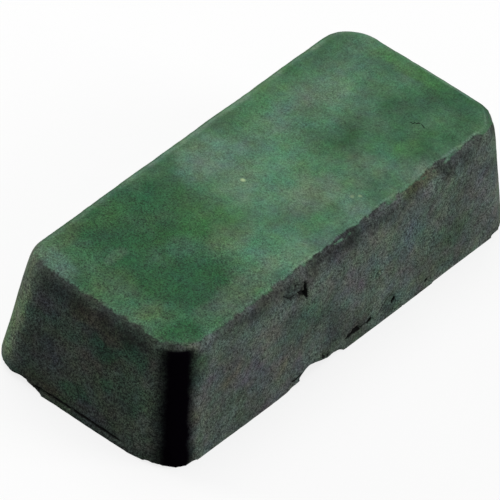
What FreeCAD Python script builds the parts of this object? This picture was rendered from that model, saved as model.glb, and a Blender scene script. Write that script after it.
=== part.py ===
"""A cast bar of green buffing compound, one solid, in millimetres.

The bar was poured into an open trough and knocked out, and it lies on its pour face. Its walls lean in towards
the trough's floor, which is now the top. +X runs along the bar, +Z up, and the origin is the middle of the pour face.
"""
import FreeCAD
import Part

import math
import os

# Trough cavity
BASE_LENGTH = 130.0
BASE_WIDTH = 58.0
HEIGHT = 33.0
END_DRAFT = 6.9         # degrees that each end wall leans in
SIDE_DRAFT = 6.8        # degrees that each long wall leans in
CORNER_RADIUS = 9.5     # the four upright corners
RIM_RADIUS = 3.5        # round between the top and the walls

# Lap crease, where the last of the pour set over the first
LAP_DEPTH = 0.5         # into the wall
LAP_GAPE = 0.6          # open width of the crease at the wall
NEAR_LAP_HEIGHT = 1.2   # above the pour face, on the near end
NEAR_LAP_FROM = 16.5    # from the bar's front wall, along the near end
NEAR_LAP_LENGTH = 25.5
SIDE_LAP_HEIGHT = 2.0   # above the pour face, on the front wall
SIDE_LAP_FROM = 65.5    # from the near end, along the front wall
SIDE_LAP_LENGTH = 9.0

# Corner break, where the lip came away round the near left corner
CORNER_BREAK_NEAR = 15.7    # from the corner's middle to its end on the near end, along the foot
CORNER_BREAK_BACK = 19.0    # from the corner's middle to its end on the back wall, along the foot
CORNER_BREAK_HEIGHT = 2.8
CORNER_BREAK_DEPTH = 4.2    # into the foot where it is highest
# Share of the run to each end, and share of the height there
CORNER_BREAK_PROFILE = ((-1.0, 0.04), (-0.88, 0.4), (-0.75, 0.66), (-0.6, 1.0), (-0.4, 0.74), (0.0, 0.71),
                        (0.3, 0.7), (0.68, 0.6), (1.0, 0.04))

# Edge chip in the front wall's foot
CHIP_FROM = 47.5        # from the near end to the chip's start
CHIP_LENGTH = 15.5
CHIP_HEIGHT = 1.9
CHIP_DEPTH = 1.8        # into the foot where it is highest
# Share of the length, and share of the height there
CHIP_PROFILE = ((0.0, 0.05), (0.1, 0.5), (0.26, 1.0), (0.4, 0.83), (0.68, 0.3), (0.83, 0.34), (1.0, 0.05))

CUT_OVERHANG = 1.0      # how far each cutter runs past the bar's skin

UP = FreeCAD.Vector(0, 0, 1)


def wall_lean(draft, height):
    """How far a wall has moved in at a height above the pour face."""
    return height * math.tan(math.radians(draft))


def cast_block():
    """The drafted block as it left the trough: four leaning walls, round corners, and the rim's round."""
    x, y = BASE_LENGTH / 2, BASE_WIDTH / 2
    top_x = x - wall_lean(END_DRAFT, HEIGHT)
    top_y = y - wall_lean(SIDE_DRAFT, HEIGHT)
    block = Part.makeWedge(-x, 0, -y, -top_y, -top_x, x, HEIGHT, y, top_y, top_x)
    block.rotate(FreeCAD.Vector(), FreeCAD.Vector(1, 0, 0), 90)
    corners = [edge for edge in block.Edges if edge.BoundBox.ZLength > HEIGHT / 2]
    block = block.makeFillet(CORNER_RADIUS, corners)
    rim = [edge for edge in block.Edges if edge.BoundBox.ZMin > HEIGHT - RIM_RADIUS / 2]
    return block.makeFillet(RIM_RADIUS, rim)


def lap_crease(start, run, into):
    """A V-shaped crease cut into a wall, from a point on the wall along a run."""
    mouth = LAP_GAPE / 2 * (1 + CUT_OVERHANG / LAP_DEPTH)
    outside = start - into * CUT_OVERHANG
    section = Part.makePolygon([start + into * LAP_DEPTH, outside + UP * mouth, outside - UP * mouth,
                                start + into * LAP_DEPTH])
    return Part.Face(section).extrude(run)


def near_end_lap():
    x = wall_lean(END_DRAFT, NEAR_LAP_HEIGHT) - BASE_LENGTH / 2
    start = FreeCAD.Vector(x, NEAR_LAP_FROM - BASE_WIDTH / 2, NEAR_LAP_HEIGHT)
    return lap_crease(start, FreeCAD.Vector(0, NEAR_LAP_LENGTH, 0), FreeCAD.Vector(1, 0, 0))


def front_wall_lap():
    y = wall_lean(SIDE_DRAFT, SIDE_LAP_HEIGHT) - BASE_WIDTH / 2
    start = FreeCAD.Vector(SIDE_LAP_FROM - BASE_LENGTH / 2, y, SIDE_LAP_HEIGHT)
    return lap_crease(start, FreeCAD.Vector(SIDE_LAP_LENGTH, 0, 0), FreeCAD.Vector(0, 1, 0))


def faceted_solid(sections):
    """A solid with flat facets between triangles that stand one behind another."""
    faces = [Part.Face(Part.makePolygon(section + section[:1])) for section in (sections[0], sections[-1])]
    for near, far in zip(sections, sections[1:]):
        for i, corner in enumerate(near):
            j = (i + 1) % len(near)
            for facet in ((corner, near[j], far[j]), (corner, far[j], far[i])):
                faces.append(Part.Face(Part.makePolygon([*facet, corner])))
    return Part.Solid(Part.Shell(faces))


def broken_foot(stations, slope):
    """What broke off the foot's edge. A station is a point on the edge, its outward direction and the break's height."""
    sections = []
    for point, outward, height in stations:
        outside = point + outward * CUT_OVERHANG
        inside = point - outward * ((height + CUT_OVERHANG) / slope)
        sections.append([outside - UP * CUT_OVERHANG, inside - UP * CUT_OVERHANG,
                         outside + UP * (height + CUT_OVERHANG * slope)])
    return faceted_solid(sections)


def edge_chip():
    """The chip in the front wall's foot, highest near its start and running out at its end."""
    stations = []
    for length_share, height_share in CHIP_PROFILE:
        point = FreeCAD.Vector(CHIP_FROM - BASE_LENGTH / 2 + length_share * CHIP_LENGTH, -BASE_WIDTH / 2, 0)
        stations.append((point, FreeCAD.Vector(0, -1, 0), height_share * CHIP_HEIGHT))
    return broken_foot(stations, CHIP_HEIGHT / CHIP_DEPTH)


def left_corner_foot(run):
    """The foot's point and outward direction at a run from the near left corner's middle, with + along the back wall."""
    x = CORNER_RADIUS - BASE_LENGTH / 2
    y = BASE_WIDTH / 2 - CORNER_RADIUS
    half_arc = CORNER_RADIUS * math.pi / 4
    if run < -half_arc:
        return FreeCAD.Vector(-BASE_LENGTH / 2, y + run + half_arc, 0), FreeCAD.Vector(-1, 0, 0)
    if run > half_arc:
        return FreeCAD.Vector(x + run - half_arc, BASE_WIDTH / 2, 0), FreeCAD.Vector(0, 1, 0)
    angle = 0.75 * math.pi - run / CORNER_RADIUS
    outward = FreeCAD.Vector(math.cos(angle), math.sin(angle), 0)
    return FreeCAD.Vector(x, y, 0) + outward * CORNER_RADIUS, outward


def corner_break():
    """The break round the near left corner's foot, highest on the near end."""
    stations = []
    for run_share, height_share in CORNER_BREAK_PROFILE:
        reach = CORNER_BREAK_BACK if run_share > 0 else CORNER_BREAK_NEAR
        point, outward = left_corner_foot(run_share * reach)
        stations.append((point, outward, height_share * CORNER_BREAK_HEIGHT))
    return broken_foot(stations, CORNER_BREAK_HEIGHT / CORNER_BREAK_DEPTH)


def compound_bar():
    bar = cast_block()
    for cutter in (near_end_lap(), front_wall_lap(), corner_break(), edge_chip()):
        bar = bar.cut(cutter)
    return bar


def main():
    os.makedirs("parts", exist_ok=True)
    bar = compound_bar()
    assert bar.isValid() and len(bar.Solids) == 1, "the bar is one valid solid"
    bar.Solids[0].exportStep("parts/compound_bar.step")
    print("compound_bar", len(bar.Faces), "faces,", round(bar.Volume / 1000, 1), "cm3")


main()
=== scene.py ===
import math

import bmesh
import bpy
from mathutils import Matrix, Vector


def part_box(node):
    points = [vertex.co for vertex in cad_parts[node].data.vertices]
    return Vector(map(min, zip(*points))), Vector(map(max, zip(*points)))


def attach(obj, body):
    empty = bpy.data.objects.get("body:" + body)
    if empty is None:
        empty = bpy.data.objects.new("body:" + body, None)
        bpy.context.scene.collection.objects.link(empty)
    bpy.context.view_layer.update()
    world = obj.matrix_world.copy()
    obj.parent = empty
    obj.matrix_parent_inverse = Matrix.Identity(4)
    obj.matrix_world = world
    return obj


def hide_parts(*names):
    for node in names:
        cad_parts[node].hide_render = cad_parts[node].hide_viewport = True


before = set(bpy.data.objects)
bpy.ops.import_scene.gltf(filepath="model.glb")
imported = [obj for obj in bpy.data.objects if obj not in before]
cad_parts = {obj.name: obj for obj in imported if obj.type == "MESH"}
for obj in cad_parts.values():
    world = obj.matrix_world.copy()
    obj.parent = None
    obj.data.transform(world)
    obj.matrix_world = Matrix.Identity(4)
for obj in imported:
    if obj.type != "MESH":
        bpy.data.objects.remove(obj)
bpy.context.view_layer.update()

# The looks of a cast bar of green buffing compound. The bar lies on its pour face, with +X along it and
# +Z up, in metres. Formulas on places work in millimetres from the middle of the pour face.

MM = 0.001
BAR = "compound_bar"

# The block under the skin, as it left its trough
LENGTH, WIDTH, HEIGHT = (1000 * (high - low) for low, high in zip(*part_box(BAR)))
END_DRAFT = 6.9         # degrees that each end wall leans in
SIDE_DRAFT = 6.8        # degrees that each long wall leans in
END_LEAN = math.tan(math.radians(END_DRAFT))
SIDE_LEAN = math.tan(math.radians(SIDE_DRAFT))
CORNER_RADIUS = 9.5     # the four upright corners
RIM_INSET = 1.0         # how far the middle of the rim's round lies inside the top and inside the wall


def end_wall(y, z):
    """A place on the near end wall."""
    return (END_LEAN * z - LENGTH / 2, y, z)


def front_wall(x, z):
    """A place on the front wall."""
    return (x, SIDE_LEAN * z - WIDTH / 2, z)


def on_top(x, y):
    """A place on the top."""
    return (x, y, HEIGHT)


def front_rim(x):
    """A place on the rim between the top and the front wall."""
    return (x, SIDE_LEAN * HEIGHT - WIDTH / 2 + RIM_INSET, HEIGHT - RIM_INSET)


# A mark's distance from a place counts little across its own face, so that it reaches down its own depth
FLATTENING = {end_wall: (0.2, 1.0, 1.0), front_wall: (1.0, 0.2, 1.0), on_top: (1.0, 1.0, 0.2)}

# Cracks: the face, both ends on it, half width and depth
CRACKS = (
    (end_wall, (14.0, 1.5), (1.0, 1.85), 0.75, 1.1),
    (end_wall, (3.0, 1.85), (-14.5, 1.7), 0.7, 1.1),
    (end_wall, (13.6, 1.2), (11.2, 0.4), 0.5, 0.5),
    (end_wall, (18.6, 1.9), (15.6, 2.0), 0.45, 0.5),
    (front_wall, (-0.4, 2.5), (5.6, 2.6), 1.0, 1.3),
    (front_wall, (1.8, 3.3), (4.4, 3.6), 0.8, 0.8),
    (front_wall, (5.2, 2.6), (9.0, 2.7), 0.6, 0.7),
    (front_wall, (11.8, 2.5), (13.9, 4.6), 0.7, 0.32),
    (front_wall, (13.7, 4.5), (16.0, 5.8), 0.65, 0.3),
    (front_wall, (15.8, 5.8), (18.4, 4.6), 0.65, 0.3),
    (front_wall, (-16.1, 28.9), (-15.3, 23.3), 0.75, 1.3),
    (front_wall, (-18.4, 27.0), (-15.6, 25.0), 1.0, 0.9),
    (front_wall, (-24.2, 29.4), (-21.6, 27.0), 0.5, 0.4),
    (front_wall, (-21.8, 27.1), (-18.0, 27.2), 0.5, 0.5),
    (front_wall, (10.4, 13.6), (11.6, 15.0), 0.6, 0.6),
    (front_wall, (11.5, 15.0), (13.2, 15.0), 0.5, 0.55),
    (front_wall, (-20.8, 2.0), (-16.6, 2.4), 0.5, 0.5),
    (on_top, (41.5, -9.6), (43.3, -11.6), 0.45, 0.4),
    (on_top, (43.3, -11.6), (42.6, -13.2), 0.4, 0.35),
)
# Holes that bubbles left: the face, the place on it, radius and depth
BUBBLE_HOLES = (
    (front_wall, (8.5, 2.7), 1.2, 1.0),
    (front_wall, (17.4, 3.6), 1.2, 1.2),
    (front_wall, (30.0, 1.8), 0.9, 0.6),
    (front_wall, (31.8, 1.6), 0.6, 0.3),
    (front_wall, (12.0, 13.4), 0.7, 0.3),
    (front_wall, (-57.0, 15.0), 0.7, 0.3),
    (front_wall, (-19.4, 29.4), 0.7, 0.4),
    (front_wall, (-8.8, 2.3), 0.9, 0.5),
    (front_wall, (-7.2, 1.7), 0.7, 0.4),
    (front_wall, (0.6, 12.0), 0.5, 0.2),
    (front_wall, (46.4, 24.2), 0.7, 0.3),
    (front_wall, (-36.5, 13.2), 0.5, 0.2),
    (on_top, (33.8, -15.9), 0.6, 0.2),
    (on_top, (10.0, 10.0), 0.5, 0.15),
)
# Chalky flecks: the face, the place on it, radius and strength
FLECKS = (
    (on_top, (-3.2, 5.0), 0.9, 0.85),
    (on_top, (11.0, -16.6), 0.8, 0.3),
    (on_top, (12.6, -17.8), 0.7, 0.3),
    (front_wall, (12.3, 15.0), 0.7, 0.25),
)
# Worn or shrunk stretches of the skin: place, reach and depth
WORN_STRETCHES = (
    (front_rim(-6.0), 12.0, 0.6),
    (front_rim(6.0), 7.0, 0.3),
    (front_rim(22.0), 8.0, 0.5),
    (front_rim(31.0), 6.0, 1.0),
    (front_rim(44.0), 7.0, 0.3),
    (front_rim(54.0), 8.0, 0.4),
    (end_wall(-23.0, 0.0), 7.0, 0.6),
)
# Stretches where the foot hangs lower than the block's: place, reach and drop, below 0 where it is higher
FOOT_LINE = (
    (end_wall(21.0, 2.0), 13.0, 0.8),
    (front_wall(-17.5, 0.5), 6.0, -0.9),
    (front_wall(-12.4, 2.0), 7.0, -1.1),
    (front_wall(-5.0, 0.5), 4.5, -0.6),
)
# Dark blotches on the walls, stains lower down and painted shade high up under the rim: the face, the place
# on it, reach and darkness
WALL_STAINS_AND_SHADE = (
    (front_wall, (-20.5, 28.2), 5.0, 0.7),
    (front_wall, (-17.0, 26.8), 3.4, 0.6),
    (front_wall, (-12.5, 31.0), 5.5, 0.6),
    (front_wall, (-6.0, 31.6), 5.5, 0.75),
    (front_wall, (1.0, 31.6), 5.0, 0.6),
    (front_wall, (-4.0, 7.0), 7.0, 0.3),
    (front_wall, (-19.0, 2.6), 4.5, 0.45),
    (front_wall, (-9.0, 2.6), 4.0, 0.45),
    (front_wall, (4.5, 3.4), 6.0, 0.5),
    (front_wall, (16.0, 4.2), 5.0, 0.4),
    (front_wall, (10.0, 30.6), 4.5, 0.65),
    (front_wall, (-33.0, 30.5), 6.0, 0.4),
    (front_wall, (38.0, 30.0), 4.5, 0.65),
    (front_wall, (45.0, 28.6), 4.0, 0.4),
    (front_wall, (53.0, 22.0), 4.0, 0.35),
    (front_wall, (44.0, 10.0), 12.0, 0.2),
    (front_wall, (-54.0, 27.0), 5.0, 0.35),
    (end_wall, (-3.0, 29.8), 4.5, 0.5),
    (end_wall, (-9.0, 29.6), 4.5, 0.6),
    (end_wall, (-14.0, 29.0), 3.5, 0.4),
    (end_wall, (-4.5, 22.0), 6.0, 0.3),
    (end_wall, (17.0, 12.0), 6.0, 0.2),
    (end_wall, (14.0, 1.4), 5.0, 0.35),
)
TOP_STAINS = (
    (on_top, (-51.9, -12.5), 2.6, 0.5),
    (on_top, (-54.3, -9.3), 1.6, 0.3),
    (on_top, (18.0, 15.5), 2.0, 0.2),
    (on_top, (44.0, -3.0), 4.0, 0.15),
)


class Term:
    """A socket in a formula, so that arithmetic on it adds the nodes."""

    def __init__(self, board, socket):
        self.board = board
        self.socket = socket

    def __add__(self, other):
        return self.board.math("ADD", self, other)

    __radd__ = __add__

    def __mul__(self, other):
        return self.board.math("MULTIPLY", self, other)

    def __sub__(self, other):
        return self.board.math("SUBTRACT", self, other)

    def __rsub__(self, other):
        return self.board.math("SUBTRACT", other, self)

    def __truediv__(self, other):
        return self.board.math("DIVIDE", self, other)

    def __rtruediv__(self, other):
        return self.board.math("DIVIDE", other, self)


SEED_STEP = 7.3         # how far apart two seeds' noises are taken


class Board:
    """A node tree being wired, for a shape or for a material."""

    def __init__(self, tree):
        self.tree = tree

    def add(self, kind, settings=None, sockets=None):
        """One node of a kind: its settings first, then the values or links of its sockets."""
        node = self.tree.nodes.new(kind)
        for name, value in (settings or {}).items():
            setattr(node, name, value)
        for name, value in (sockets or {}).items():
            if isinstance(value, Term):
                self.tree.links.new(value.socket, node.inputs[name])
            else:
                node.inputs[name].default_value = value
        return node

    def term(self, kind, settings=None, sockets=None, out=0):
        return Term(self, self.add(kind, settings, sockets).outputs[out])

    def math(self, operation, *terms):
        return self.term("ShaderNodeMath", {"operation": operation}, dict(enumerate(terms)))

    def vector(self, operation, *terms, out=0):
        settings = {"operation": operation}
        return self.term("ShaderNodeVectorMath", settings, dict(enumerate(terms)), out)

    def scaled(self, vector, factor):
        sockets = {"Vector": vector, "Scale": factor}
        return self.term("ShaderNodeVectorMath", {"operation": "SCALE"}, sockets)

    def parts(self, vector):
        node = self.add("ShaderNodeSeparateXYZ", None, {0: vector})
        return [Term(self, socket) for socket in node.outputs]

    def joined(self, x, y, z):
        return self.term("ShaderNodeCombineXYZ", None, {0: x, 1: y, 2: z})

    def limited(self, value, low, high):
        return self.math("MINIMUM", self.math("MAXIMUM", value, low), high)

    def ease(self, value, low, high):
        """0 below low, 1 above high, and smooth between them. With low above high it falls."""
        return self.term("ShaderNodeMapRange", {"interpolation_type": "SMOOTHSTEP"},
                         {"Value": value, "From Min": low, "From Max": high, "To Min": 0.0, "To Max": 1.0})

    def noise(self, at, size, seed, detail=2.0, rough=0.5, colour=False):
        """Cloudy noise from 0 to 1 whose patches are about a size across."""
        sockets = {"Vector": at, "W": SEED_STEP * seed, "Scale": 1 / size,
                   "Detail": detail, "Roughness": rough}
        return self.term("ShaderNodeTexNoise", {"noise_dimensions": "4D"}, sockets, 1 if colour else 0)

    def mix(self, factor, a, b, blend="MIX"):
        """A colour between two colours."""
        return self.term("ShaderNodeMix", {"data_type": "RGBA", "blend_type": blend},
                         {"Factor": factor, 6: a, 7: b}, 2)


def wandering(board, at, size, reach, seed):
    """A place moved a little by noise, so that what is drawn from it has an uneven edge."""
    cloud = board.noise(at, size, seed, detail=2.0, colour=True)
    off = board.vector("SUBTRACT", cloud, (0.5, 0.5, 0.5))
    return board.vector("ADD", at, board.scaled(off, 2 * reach))


CRACK_ENDS = 0.3        # share of its width that a crack keeps at its ends


def crack(board, at, start, end, half_width):
    """1 along the middle of a crack and 0 beside it, running out at both ends."""
    along = end - start
    from_start = board.vector("SUBTRACT", at, tuple(start))
    share = board.vector("DOT_PRODUCT", from_start, tuple(along / along.length_squared), out=1)
    share = board.limited(share, 0.0, 1.0)
    off = board.vector("SUBTRACT", from_start, board.scaled(tuple(along), share))
    beside = board.vector("LENGTH", off, out=1)
    taper = board.ease(share, 0.0, 0.12) * board.ease(share, 1.0, 0.8) * (1 - CRACK_ENDS) + CRACK_ENDS
    return board.ease(beside / taper, half_width, 0.0)


def hole(board, at, middle, radius):
    """1 in the middle of a hole and 0 outside it."""
    return board.ease(board.vector("DISTANCE", at, tuple(middle), out=1), radius, 0.2 * radius)


def round_marks(board, at, marks):
    """The sum of round marks at a place. A mark is its face, the place on it, radius and strength."""
    total = 0.0
    for face, flattening in FLATTENING.items():
        flat = board.vector("MULTIPLY", at, flattening)
        for mark_face, point, radius, strength in marks:
            if mark_face is face:
                middle = Vector(face(*point)) * Vector(flattening)
                total = hole(board, flat, middle, radius) * strength + total
    return total


def hollows(board, at):
    """How deep the cracks and the bubble holes are at a place, in mm."""
    uneven = wandering(board, at, 2.2, 0.25, 11)
    depth = round_marks(board, wandering(board, at, 1.0, 0.3, 12), BUBBLE_HOLES)
    for face, flattening in FLATTENING.items():
        flat = board.vector("MULTIPLY", uneven, flattening)
        for crack_face, start, end, half_width, deep in CRACKS:
            if crack_face is face:
                ends = (Vector(face(*point)) * Vector(flattening) for point in (start, end))
                depth = crack(board, flat, *ends, half_width) * deep + depth
    return depth


# Relief of the cast skin, in mm
SKIN_SIZES = {
    "Rounding": 2,              # passes that soften the edges
    "Front Draw In": 0.35,      # how far the front wall lies inside the block, but for its swelling foot
    "Back Fullness": 0.55,      # how far the back wall's upper part stands out of the block
    "Swell Height": 0.25,       # both ways
    "Swell Length": 24.0,
    "Rim Dent Depth": 0.5,
    "Rim Dent Length": 4.5,
    "Rough Height": 0.08,       # both ways
    "Rough Length": 3.0,
    "Broken Depth": 0.15,
    "Broken Length": 2.4,
}


def skin_tree(wax):
    """Geometry nodes that turn the plain block into a hand poured one, inside the block's own box."""
    tree = bpy.data.node_groups.new("poured_skin", "GeometryNodeTree")
    face = tree.interface
    face.new_socket("Geometry", in_out="INPUT", socket_type="NodeSocketGeometry")
    for name, size in SKIN_SIZES.items():
        kind = "NodeSocketInt" if isinstance(size, int) else "NodeSocketFloat"
        face.new_socket(name, in_out="INPUT", socket_type=kind).default_value = size
    face.new_socket("Geometry", in_out="OUTPUT", socket_type="NodeSocketGeometry")
    board = Board(tree)
    given = tree.nodes.new("NodeGroupInput")
    size = {name: Term(board, given.outputs[name]) for name in SKIN_SIZES}

    place = board.term("GeometryNodeInputPosition")
    softened = board.term("GeometryNodeBlurAttribute", {"data_type": "FLOAT_VECTOR"},
                          {"Value": place, "Iterations": size["Rounding"]})
    block = board.term("GeometryNodeSetPosition", None,
                       {"Geometry": Term(board, given.outputs["Geometry"]), "Position": softened})

    at = board.scaled(place, 1 / MM)
    x, y, z = board.parts(at)
    out = board.term("GeometryNodeInputNormal")
    out_x, out_y, out_z = board.parts(out)

    # Inward depth of the relief
    swell = (board.noise(at, size["Swell Length"], 1, detail=1.0) - 0.5) * 2 * size["Swell Height"]
    front_rim_share = board.ease(out_y, 0.0, -0.3) * board.ease(x, -26.0, -10.0) * 0.8 + 0.2
    by_rim = board.ease(z, HEIGHT - 5.0, HEIGHT - 2.5) * board.ease(out_z, 0.99, 0.85) * front_rim_share
    dents = board.ease(board.noise(at, size["Rim Dent Length"], 2, detail=3.0, rough=0.6), 0.42, 0.68)
    dents = dents * by_rim * size["Rim Dent Depth"]
    rough = board.noise(at, size["Rough Length"], 3, detail=3.0, rough=0.6) - 0.5
    rough = rough * 2 * size["Rough Height"]
    broken = board.noise(at, size["Broken Length"], 4, detail=3.0, rough=0.6)
    broken = broken * board.ease(z, 3.4, 0.4) * size["Broken Depth"]
    depth = swell + dents + rough + broken + hollows(board, at)
    for middle, reach, deep in WORN_STRETCHES:
        depth = hole(board, at, middle, reach) * deep + depth

    # Where whole walls stand off the block
    swelling = board.ease(x, -53.0, -37.0) * board.ease(x, -17.5, -27.0) * board.ease(z, 13.0, 1.0)
    drawn_in = board.math("MAXIMUM", out_y * -1, 0.0) * (1 - swelling) * size["Front Draw In"]
    pushed_out = board.ease(out_y, 0.2, 0.8) * board.ease(z, 8.0, 26.0) * size["Back Fullness"]
    drop = 0.0
    for middle, reach, low in FOOT_LINE:
        drop = hole(board, at, middle, reach) * low + drop
    drop = drop * board.ease(z, 7.0, 2.0)
    moved = board.vector("SUBTRACT", at, board.scaled(out, depth))
    moved_x, moved_y, moved_z = board.parts(moved)
    moved = board.joined(board.limited(moved_x, -LENGTH / 2, LENGTH / 2),
                         board.limited(moved_y + drawn_in + pushed_out, -WIDTH / 2, WIDTH / 2),
                         board.limited(moved_z - drop, 0.0, HEIGHT))
    block = board.term("GeometryNodeSetPosition", None,
                       {"Geometry": block, "Position": board.scaled(moved, MM)})
    block = board.term("GeometryNodeSetShadeSmooth", None, {"Geometry": block})
    block = board.term("GeometryNodeRealizeInstances", None, {"Geometry": block})
    block = board.term("GeometryNodeSetMaterial", None, {"Geometry": block, "Material": wax})
    result = tree.nodes.new("NodeGroupOutput")
    tree.links.new(block.socket, result.inputs[0])
    return tree


def set_sizes(modifier, sizes):
    """Gives a geometry nodes modifier its sizes by socket."""
    for item in modifier.node_group.interface.items_tree:
        if item.in_out == "INPUT" and item.name in sizes:
            modifier[item.identifier] = sizes[item.name]


def as_mesh(thing, name):
    """The finished mesh of an object with its modifiers, as a new object without any."""
    seen = thing.evaluated_get(bpy.context.evaluated_depsgraph_get())
    piece = bpy.data.objects.new(name, bpy.data.meshes.new_from_object(seen))
    bpy.context.scene.collection.objects.link(piece)
    bpy.data.objects.remove(thing)
    return piece


def cut_finer(mesh, boxes):
    """Halves the faces whose middle is in a box, in mm, so that the fine marks there have enough points."""
    work = bmesh.new()
    work.from_mesh(mesh)
    for low, high in boxes:
        inside = [f for f in work.faces
                  if all(a <= c / MM <= b for a, c, b in zip(low, f.calc_center_median(), high))]
        edges = list({e for f in inside for e in f.edges})
        bmesh.ops.subdivide_edges(work, edges=edges, cuts=1, use_grid_fill=True)
    work.to_mesh(mesh)
    work.free()


GRID = 0.58             # side of the remeshed faces, in mm
JOINED = 0.01           # points of the block's faces nearer than this, in mm, become one
# Where the marks are fine: the two corners of each box, in mm
FINE_BOXES = (
    ((-70, -16, -0.5), (-60, 17, 3.0)),
    ((-70, 8, -0.5), (-45, 30, 4.5)),
    ((-20, -30, -0.5), (32, -25.5, 5.5)),
    ((-25, -30, 21.0), (-12, -22, 30.5)),
    ((10, -30, 11.5), (14.5, -24, 15.0)),
)


def poured_bar(wax):
    """The bar with its poured skin, made from the plain block."""
    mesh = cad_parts[BAR].data.copy()
    work = bmesh.new()
    work.from_mesh(mesh)
    bmesh.ops.remove_doubles(work, verts=work.verts, dist=JOINED * MM)
    work.to_mesh(mesh)
    work.free()
    block = bpy.data.objects.new("block", mesh)
    bpy.context.scene.collection.objects.link(block)
    grid = block.modifiers.new("grid", "REMESH")
    grid.mode = "VOXEL"
    grid.voxel_size = GRID * MM
    block = as_mesh(block, "block")
    cut_finer(block.data, FINE_BOXES)
    skin = block.modifiers.new("skin", "NODES")
    skin.node_group = skin_tree(wax)
    set_sizes(skin, SKIN_SIZES)
    return as_mesh(block, "green_bar")


def paint(red, green, blue):
    """A colour as it is picked from a screen, 0 to 255, as the shader wants it."""
    def linear(level):
        share = level / 255
        return share / 12.92 if share < 0.04045 else ((share + 0.055) / 1.055) ** 2.4
    return (linear(red), linear(green), linear(blue), 1.0)


# How dusty the top is: place, reach along and across the bar, and how much more dust lies there.
# Below 0 there is less.
DUST_PATCHES = (
    (-38.0, 8.0, 27.0, 28.0, -0.45),
    (-46.0, -11.0, 16.0, 10.0, -0.1),
    (-56.0, -20.0, 7.0, 6.0, -0.4),
    (3.0, 8.0, 20.0, 16.0, 0.35),
    (-8.0, -14.0, 26.0, 9.0, 0.3),
    (32.0, 12.0, 18.0, 9.0, 0.25),
    (24.0, 0.0, 12.0, 6.0, -0.2),
    (45.0, -14.0, 14.0, 12.0, -0.3),
)

# Paints that cover whole faces, each from its darker to its lighter clouds
TOP_PAINTS = (paint(38, 82, 50), paint(89, 126, 98))
FRONT_PAINTS = (paint(81, 92, 85), paint(100, 113, 104))
# The near end is painted darker than the front: painted shade
END_SHADED_PAINTS = (paint(50, 63, 54), paint(66, 78, 68))
PLAIN_PAINTS = (paint(86, 104, 86), paint(104, 124, 96))
# Painted highlight on the rim's round
RIM_HIGHLIGHT = paint(112, 144, 120)
RIM_SHADE = paint(24, 31, 26)
# Dark of the stains and of the painted shade under the rim
STAIN_AND_SHADE = paint(18, 22, 19)
# Painted shade in the cracks and bubble holes
CRACK_SHADE_BLACK = paint(5, 5, 5)
CHALK = paint(176, 200, 150)
# Near black of the strip of painted shade on the near corner
CORNER_SHADE_BLACK = paint(8, 5, 11)

# Tints of the compound where its mix, its dust or the handling differ, but for the last, on the near end's
# back corner, which is painted light
DEEP_GREEN = paint(34, 84, 50)
LEAF_GREEN = paint(70, 118, 66)
SEA_GREEN = paint(70, 119, 96)
PALE_GREY = paint(98, 121, 110)
WARM_GREY = paint(103, 116, 99)
OLIVE = paint(86, 96, 62)
WALL_GREEN = paint(66, 98, 74)
WALL_TEAL = paint(88, 112, 106)
WALL_VIOLET = paint(98, 95, 102)
WALL_BROWN = paint(94, 90, 78)
WALL_DARK = paint(66, 76, 70)
WALL_PALE = paint(104, 117, 107)
END_TEAL = paint(38, 78, 58)
END_VIOLET = paint(62, 61, 66)
END_BROWN = paint(66, 62, 49)
END_PALE = paint(84, 92, 80)
LIT_CORNER_OLIVE = paint(116, 132, 84)

# Tinted patches on each face: the place on it, both reaches, tint and strength
TOP_TINTS = (
    (-46, 5, 7, 6, DEEP_GREEN, 0.6),
    (-38, -9, 9, 5, DEEP_GREEN, 0.45),
    (-22, 15, 7, 5, DEEP_GREEN, 0.6),
    (-47, -16, 6, 4, DEEP_GREEN, 0.2),
    (46, -6, 8, 5, DEEP_GREEN, 0.25),
    (44, -18, 8, 4, DEEP_GREEN, 0.2),
    (-52, 3, 5, 8, OLIVE, 0.2),
    (-53, -9, 5, 3, OLIVE, 0.3),
    (-45, 9, 4, 2, WARM_GREY, 0.3),
    (-58, 17, 5, 6, PALE_GREY, 0.4),
    (-3, 15, 10, 7, PALE_GREY, 0.5),
    (26, 15, 9, 4, PALE_GREY, 0.25),
    (5, -9, 8, 7, WARM_GREY, 0.5),
    (-20, -6, 6, 5, WARM_GREY, 0.35),
    (36, 12, 8, 5, WARM_GREY, 0.4),
    (20, -12, 6, 5, WARM_GREY, 0.25),
    (-14, -13, 9, 4, SEA_GREEN, 0.45),
    (3, -1, 7, 5, SEA_GREEN, 0.35),
    (18, 4, 12, 8, SEA_GREEN, 0.3),
    (33, -15, 5, 3, LEAF_GREEN, 0.5),
    (14, -4, 9, 6, LEAF_GREEN, 0.25),
    (-36, 19, 8, 4, LEAF_GREEN, 0.25),
    (-30, -1, 6, 4, SEA_GREEN, 0.3),
    (-18, 4, 9, 12, LEAF_GREEN, 0.3),
    (-33, -19, 15, 4, WARM_GREY, 0.35),
    (0, -17, 7, 3, LEAF_GREEN, 0.35),
    (57, 2, 3, 9, LEAF_GREEN, 0.5),
    (20, 20, 14, 4, LEAF_GREEN, 0.3),
    (-50, 22, 9, 4, OLIVE, 0.25),
)
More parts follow.
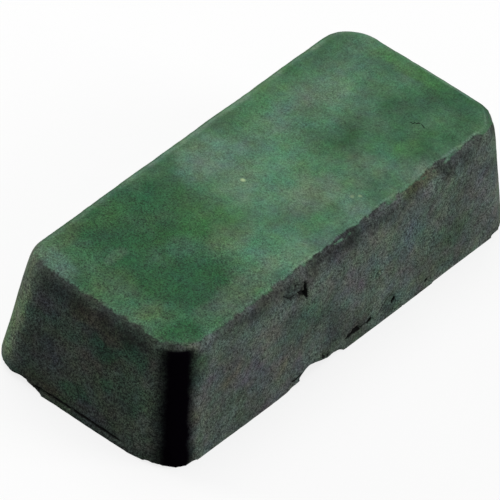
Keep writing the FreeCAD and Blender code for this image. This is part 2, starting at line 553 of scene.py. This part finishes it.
FRONT_TINTS = (
    (-50, 20, 5, 6, WALL_VIOLET, 0.5),
    (-56, 25, 4, 5, WALL_GREEN, 0.6),
    (-42, 17, 6, 4, WALL_BROWN, 0.5),
    (-37, 14, 7, 4, WALL_VIOLET, 0.5),
    (-34, 26, 7, 4, WALL_PALE, 0.4),
    (-28, 30, 8, 3, WALL_BROWN, 0.5),
    (-22, 8, 7, 4, WALL_BROWN, 0.4),
    (-16, 18, 7, 6, WALL_GREEN, 0.35),
    (-8, 25, 6, 4, WALL_PALE, 0.5),
    (-9, 22, 5, 3, WALL_VIOLET, 0.4),
    (-8, 12, 7, 7, WALL_DARK, 0.45),
    (1, 18, 7, 5, WALL_VIOLET, 0.5),
    (8, 24, 8, 4, WALL_PALE, 0.5),
    (12, 18, 5, 4, WALL_TEAL, 0.5),
    (23, 20, 7, 6, WALL_TEAL, 0.6),
    (30, 28, 7, 3, WALL_PALE, 0.35),
    (39, 12, 7, 6, WALL_GREEN, 0.6),
    (40, 22, 6, 5, WALL_GREEN, 0.3),
    (48, 16, 6, 5, WALL_VIOLET, 0.3),
    (-54, 8, 6, 6, WALL_PALE, 0.3),
    (56, 10, 4, 9, WALL_PALE, 0.5),
    (28, 31.5, 7, 2, OLIVE, 0.75),
)
END_TINTS = (
    (-10, 26, 5, 3.5, END_TEAL, 0.7),
    (-3, 22.5, 5, 3, END_TEAL, 0.8),
    (-7, 14, 2.5, 2.5, END_TEAL, 0.5),
    (10, 22, 9, 3, END_TEAL, 0.35),
    (2, 6.5, 6, 2.5, END_TEAL, 0.5),
    (-14, 15, 5, 6, END_TEAL, 0.4),
    (12, 12, 7, 6, END_VIOLET, 0.5),
    (16, 25, 5, 4, END_VIOLET, 0.5),
    (4, 14, 6, 5, END_PALE, 0.15),
    (-4, 4, 5, 2, END_VIOLET, 0.6),
    (1, 29, 8, 3, END_BROWN, 0.6),
    (-4, 26, 4, 2, END_BROWN, 0.5),
    (-2, 17, 5, 3, END_BROWN, 0.4),
    (12, 2.5, 6, 3, END_BROWN, 0.4),
    (-18, 22, 4, 9, END_PALE, 0.35),
    (-20, 8, 4, 7, END_PALE, 0.5),
    # Painted light on the near end's back corner
    (23, 20, 3, 14, LIT_CORNER_OLIVE, 0.6),
)


def patch(board, u, v, middle_u, middle_v, reach_u, reach_v):
    """1 in the middle of a soft round patch and 0 outside it."""
    off_u = (u - middle_u) / reach_u
    off_v = (v - middle_v) / reach_v
    return board.ease(off_u * off_u + off_v * off_v, 1.5, 0.1)


def tinted(board, colour, u, v, patches):
    """A colour with the tinted patches of one face laid over it."""
    for middle_u, middle_v, reach_u, reach_v, tint, strength in patches:
        cover = patch(board, u, v, middle_u, middle_v, reach_u, reach_v) * strength
        colour = board.mix(cover, colour, tint)
    return colour


def stained_and_shaded(board, colour, at, stains):
    """A colour with dark blotches laid over it."""
    dark = round_marks(board, wandering(board, at, 3.0, 1.8, 13), stains)
    mottle = board.ease(board.noise(at, 1.3, 14, detail=4.0, rough=0.7), 0.35, 0.62)
    return board.mix(board.limited(dark * (mottle + 0.3), 0.0, 0.95), colour, STAIN_AND_SHADE)


def varied(board, colour, at, size, seed, reach):
    """A colour whose red, green and blue drift apart a little from place to place."""
    cloud = board.noise(at, size, seed, detail=1.0, colour=True)
    drift = board.vector("ADD", board.scaled(cloud, reach), (1 - reach / 2,) * 3)
    return board.mix(1.0, colour, drift, "MULTIPLY")


def top_colour(board, at, near_x, near_y):
    """The narrow face, cast on the trough's floor: deep green with dusty patches."""
    clouds = board.noise(at, 14.0, 21, detail=3.0, rough=0.55)
    dust = (clouds - 0.5) * 1.6 + 0.5
    for middle_x, middle_y, reach_x, reach_y, share in DUST_PATCHES:
        dust = patch(board, near_x, near_y, middle_x, middle_y, reach_x, reach_y) * share + dust
    green = board.mix(board.limited(dust, 0.0, 1.0), *TOP_PAINTS)
    green = tinted(board, green, near_x, near_y, TOP_TINTS)
    return stained_and_shaded(board, green, at, TOP_STAINS)


def wall_colour(board, at, out_x, out_y, near_x, near_y, near_z):
    """The walls: greyer than the top, darkest on the near end and dark under the rim in painted shade,
    greener behind, with painted light on the near end's back corner.
    """
    clouds = board.ease(board.noise(at, 10.0, 23, detail=3.0, rough=0.55), 0.3, 0.7)
    front = board.mix(clouds, *FRONT_PAINTS)
    front = tinted(board, front, near_x, near_z, FRONT_TINTS)
    end = board.mix(clouds, *END_SHADED_PAINTS)
    end = tinted(board, end, near_y, near_z, END_TINTS)
    plain = board.mix(clouds, *PLAIN_PAINTS)
    wall = board.mix(board.ease(out_y - out_x, -0.05, 0.25), front, end)
    # Towards the back the walls take the plain paints, which on the near end's back corner are painted light
    wall = board.mix(board.ease(out_y, 0.0, 0.6) * 0.9, wall, plain)
    wall = board.mix(board.ease(out_x, 0.2, 0.8) * 0.7, wall, plain)
    under_rim = board.ease(near_z, HEIGHT - 6.0, HEIGHT - 2.0) * board.ease(out_x + out_y, 0.05, -0.25)
    patchy = board.ease(board.noise(at, 6.0, 35, detail=3.0), 0.38, 0.6) * 0.5 + 0.15
    wall = board.mix(under_rim * patchy, wall, RIM_SHADE)
    # Stains, and blotches of painted shade high up under the rim
    return stained_and_shaded(board, wall, at, WALL_STAINS_AND_SHADE)


# How far the top's paint runs past the rim on each side, as a share of the way that the rim turns. On the
# near end it stops that much short.
FAR_REACH = 0.45
NEAR_SHORT = 0.25
# On the back side the top's green runs further down, in part as painted light on the near end's back corner
BACK_REACH = 0.25


def top_cover(board, at, z, out_x, out_y, out_z):
    """1 on the top and 0 on the walls. The ragged line between them lies highest on the near rim."""
    ragged = (board.noise(at, 3.2, 28, detail=4.0, rough=0.65) - 0.5) * board.ease(out_z, 1.0, 0.97)
    past_rim = board.math("MAXIMUM", out_x, 0.0) * FAR_REACH + board.math("MINIMUM", out_x, 0.0) * NEAR_SHORT
    past_rim = board.math("MAXIMUM", out_y, 0.0) * BACK_REACH + past_rim
    facing_up = out_z + ragged * 0.7 + past_rim
    return board.ease(facing_up, 0.76, 0.94) * board.ease(z, HEIGHT - 7.0, HEIGHT - 5.0)


# How strongly the painted highlight on the rim's round shows
RIM_HIGHLIGHT_STRENGTH = 0.75


def rim_highlight_cover(board, at, x, out_z):
    """How strongly a highlight is painted on the rim's round, which is less towards the near end."""
    highlight_band = board.ease(out_z, 0.82, 0.9) * board.ease(out_z, 0.985, 0.93)
    uneven_highlight = board.ease(board.noise(at, 6.0, 33, detail=3.0), 0.35, 0.65)
    return highlight_band * (uneven_highlight * board.ease(x, -60.0, -10.0) * 0.8 + 0.2)


# Grain of the compound: size in mm and contrast
GRIT_SIZE = 0.3
GRIT_CONTRAST = 2.2
GRAIN_SIZE = 0.5
GRAIN_CONTRAST = 3.2
SPECKLE_SIZE = 4.5
SPECKLE_CONTRAST = 0.8
SHADE_RANGE = (0.25, 2.1)       # the grain's darkest and lightest shade, where 1 leaves a colour as it is


def grained(board, colour, grain, grit, speckle, strength):
    """A colour with the compound's grain, which is a shade that multiplies it."""
    fine = (grain - 0.5) * GRAIN_CONTRAST + (grit - 0.5) * GRIT_CONTRAST
    shade = board.limited(fine * strength + (speckle - 0.5) * SPECKLE_CONTRAST + 1, *SHADE_RANGE)
    return board.mix(1.0, colour, board.joined(shade, shade, shade), "MULTIPLY")


# The near-black strip of painted shade on the near corner, in degrees round it: 180 is the near end wall and
# 270 the front wall
CORNER_SHADE_FROM = (189, 218)          # where it begins to show and where it is full, on the near end's side
CORNER_SHADE_TO = (273, 248)            # the same on the front wall's side
CORNER_SHADE_FROM_SLOPE = 0.17          # degrees that this edge moves towards the near end for each mm of height
CORNER_SHADE_TO_SLOPE = 0.4             # the same for the edge on the front wall's side
CORNER_SHADE_RAGGED = 16                # degrees that its edges wander, both ways together


def corner_shade_cover(board, x, y, z, out_z, speckle):
    """1 under the strip of painted shade and 0 beside it."""
    across = y + WIDTH / 2 - CORNER_RADIUS - z * SIDE_LEAN
    along = x + LENGTH / 2 - CORNER_RADIUS - z * END_LEAN
    turn = board.math("ARCTAN2", across, along) * (180 / math.pi) + 360 + (speckle - 0.5) * CORNER_SHADE_RAGGED
    shade_strip = board.ease(turn + z * CORNER_SHADE_FROM_SLOPE, *CORNER_SHADE_FROM)
    shade_strip = shade_strip * board.ease(turn + z * CORNER_SHADE_TO_SLOPE, *CORNER_SHADE_TO)
    shade_strip = shade_strip * board.ease(out_z, 0.75, 0.55)
    corner = -(LENGTH + WIDTH) / 2
    return shade_strip * board.ease(x + y, corner + 30.0, corner + 24.0)


ROUGHNESS = 0.58
GLOSS = 0.25


def wax_material():
    """Waxy green compound: dusty top, greyer walls, a painted highlight on the rims, a strip of painted
    shade on one corner and black painted shade in the cracks.
    """
    wax = bpy.data.materials.new("green_compound_wax")
    wax.use_nodes = True
    board = Board(wax.node_tree)
    wax.node_tree.nodes.clear()
    here = board.add("ShaderNodeTexCoord")
    at = board.scaled(Term(board, here.outputs["Object"]), 1 / MM)
    x, y, z = board.parts(at)
    out_x, out_y, out_z = board.parts(Term(board, here.outputs["Normal"]))
    near_x, near_y, near_z = board.parts(wandering(board, at, 8.0, 4.0, 25))

    # Paint of the faces and their rims
    up = top_cover(board, at, z, out_x, out_y, out_z)
    walls = wall_colour(board, at, out_x, out_y, near_x, near_y, near_z)
    colour = board.mix(up, walls, top_colour(board, at, near_x, near_y))
    # A painted highlight along the rim's round, on the top's side
    colour = board.mix(rim_highlight_cover(board, at, x, out_z) * up * RIM_HIGHLIGHT_STRENGTH, colour, RIM_HIGHLIGHT)
    colour = varied(board, colour, at, 8.0, 31, 0.5)
    colour = varied(board, colour, at, 3.0, 32, 0.4)

    # Grain, strongest on the near end and weakest on the top and the hidden walls
    speckle = board.noise(at, SPECKLE_SIZE, 27, detail=4.0, rough=0.6)
    grain = board.noise(at, GRAIN_SIZE, 26, detail=2.0, rough=0.7)
    grit = board.noise(at, GRIT_SIZE, 29, detail=0.0)
    strength = board.ease(out_x, -0.5, -0.85) * 0.35 - up * (board.ease(x, -32.0, -8.0) * 0.3 + 0.3) + 1.1
    hidden = board.limited(board.math("MAXIMUM", out_x, out_y), 0.0, 1.0)
    colour = grained(board, colour, grain, grit, speckle, strength - hidden * 0.5)

    # Near-black painted shade in the cracks and bubble holes, and chalky flecks
    deep = board.ease(hollows(board, at), 0.1, 0.4)
    colour = board.mix(deep * 0.97, colour, CRACK_SHADE_BLACK)
    chalk = board.limited(round_marks(board, wandering(board, at, 1.0, 0.3, 34), FLECKS), 0.0, 1.0)
    colour = board.mix(chalk, colour, CHALK)

    rough = speckle * 0.15 + deep * 0.2 + ROUGHNESS
    height = grain * 0.25 + speckle * 0.35
    bump = board.term("ShaderNodeBump", None, {"Strength": 0.5, "Distance": MM, "Height": height})
    skin = board.add("ShaderNodeBsdfPrincipled", None, {
        "Base Color": colour, "Roughness": rough, "Normal": bump, "Specular IOR Level": GLOSS})
    # The near corner's strip of painted shade: a near-black diffuse mixed over the skin
    black = board.add("ShaderNodeBsdfDiffuse", None, {"Color": CORNER_SHADE_BLACK})
    both = board.add("ShaderNodeMixShader", None, {0: corner_shade_cover(board, x, y, z, out_z, speckle)})
    wax.node_tree.links.new(skin.outputs[0], both.inputs[1])
    wax.node_tree.links.new(black.outputs[0], both.inputs[2])
    result = wax.node_tree.nodes.new("ShaderNodeOutputMaterial")
    wax.node_tree.links.new(both.outputs[0], result.inputs["Surface"])
    return wax


# The photograph's view, fitted to the bar's outline in it
AZIMUTH = -55.501               # degrees
ELEVATION = 41.757
ROLL = 7.746
LENS_PIXELS = 7896.0            # the lens's length, in pixels of the photograph
STAND_OFF = 1863.0              # mm from the place that is looked at
SHIFT_RIGHT = 9.164             # how far that place lies from the picture's middle, in pixels
SHIFT_DOWN = -13.263
LOOKED_AT = (0.0, 0.45, 16.0)
PICTURE = 500                   # pixels across
SENSOR = 36.0                   # mm across
CLIP_START = 0.1                # metres
CLIP_END = 20


def photograph_camera():
    """A long lens over the corner of the near end and the front wall, tilted as the photograph is."""
    azimuth, elevation, roll = (math.radians(a) for a in (AZIMUTH, ELEVATION, ROLL))
    level = Vector((math.cos(azimuth), math.sin(azimuth), 0))
    towards = Vector((math.sin(azimuth), -math.cos(azimuth), 0))
    back = towards * math.cos(elevation) + Vector((0, 0, math.sin(elevation)))
    above = back.cross(level)
    right = math.cos(roll) * level + math.sin(roll) * above
    up = math.cos(roll) * above - math.sin(roll) * level
    place = (Vector(LOOKED_AT) + STAND_OFF * back) * MM
    forward = -back - right * (SHIFT_RIGHT / LENS_PIXELS) + up * (SHIFT_DOWN / LENS_PIXELS)
    forward.normalize()
    right = forward.cross(up).normalized()
    up = right.cross(forward)
    data = bpy.data.cameras.new("photo_camera")
    data.sensor_width = SENSOR
    data.lens = LENS_PIXELS * SENSOR / PICTURE
    data.clip_start = CLIP_START
    data.clip_end = CLIP_END
    camera = bpy.data.objects.new("photo_camera", data)
    turn = Matrix((right, up, -forward)).transposed()
    camera.matrix_world = Matrix.Translation(place) @ turn.to_4x4()
    bpy.context.scene.collection.objects.link(camera)
    bpy.context.scene.camera = camera


# Square lamps: name, place in metres, side, and level. The level is how brightly the lamp alone would show
# a white face that faces it.
SOFTBOXES = (
    ("overhead", (0.15, 0.25, 1.1), 0.9, 0.52),
    ("right_side", (0.6, -1.0, 0.5), 0.6, 0.34),
    ("left_back", (-0.3, 1.1, 0.4), 0.4, 0.35),
)


def softbox(name, place, size, level):
    """A square lamp that faces the bar."""
    data = bpy.data.lights.new(name, "AREA")
    data.size = size
    place = Vector(place)
    data.energy = level * math.pi ** 2 * place.length_squared
    lamp = bpy.data.objects.new(name, data)
    lamp.location = place
    lamp.rotation_euler = place.to_track_quat("Z", "Y").to_euler()
    bpy.context.scene.collection.objects.link(lamp)


AIR = 0.28              # light from all round, where 1 shows a white face as white
PAPER = 0.3             # how much light the floor throws back up at the bar
SHADOW_SHARE = 0.2      # how dark the floor's shadow looks to the camera
FLOOR_REACH = 3.0       # metres from the middle to each side
WHITE = (1, 1, 1, 1)


def studio_air():
    """A world that is white to the camera and softly lights the bar from all round."""
    world = bpy.data.worlds.new("studio_air")
    world.use_nodes = True
    bpy.context.scene.world = world
    board = Board(world.node_tree)
    world.node_tree.nodes.clear()
    seen = board.term("ShaderNodeLightPath", None, None, "Is Camera Ray")
    air = board.add("ShaderNodeBackground", None, {"Color": WHITE, "Strength": seen * (1 - AIR) + AIR})
    result = world.node_tree.nodes.new("ShaderNodeOutputWorld")
    world.node_tree.links.new(air.outputs[0], result.inputs["Surface"])


def paper_material():
    """Paper that looks white to the camera but for a faint shadow, and that is grey to the lamps' light."""
    paper = bpy.data.materials.new("white_paper")
    paper.use_nodes = True
    board = Board(paper.node_tree)
    paper.node_tree.nodes.clear()
    seen = board.term("ShaderNodeLightPath", None, None, "Is Camera Ray")
    grey = (PAPER, PAPER, PAPER, 1)
    sheet = board.add("ShaderNodeBsdfDiffuse", None, {"Color": board.mix(seen, grey, WHITE)})
    glow = board.add("ShaderNodeEmission", None, {"Color": WHITE, "Strength": 1.0})
    both = board.add("ShaderNodeMixShader", None, {0: seen * (1 - SHADOW_SHARE)})
    paper.node_tree.links.new(sheet.outputs[0], both.inputs[1])
    paper.node_tree.links.new(glow.outputs[0], both.inputs[2])
    result = paper.node_tree.nodes.new("ShaderNodeOutputMaterial")
    paper.node_tree.links.new(both.outputs[0], result.inputs["Surface"])
    return paper


def white_floor():
    """A square of paper under the bar."""
    work = bmesh.new()
    bmesh.ops.create_grid(work, x_segments=1, y_segments=1, size=FLOOR_REACH)
    mesh = bpy.data.meshes.new("floor")
    work.to_mesh(mesh)
    work.free()
    mesh.materials.append(paper_material())
    floor = bpy.data.objects.new("floor", mesh)
    bpy.context.scene.collection.objects.link(floor)


def studio():
    """Even soft light from above, a weaker lamp on each side, and a white floor with a faint shadow."""
    for name, place, size, level in SOFTBOXES:
        softbox(name, place, size, level)
    studio_air()
    white_floor()


def main():
    bpy.context.scene.view_settings.view_transform = "Standard"
    photograph_camera()
    studio()
    bar = poured_bar(wax_material())
    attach(bar, "root")
    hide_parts(BAR)
    print("triangles", sum(len(f.vertices) - 2 for f in bar.data.polygons))


main()
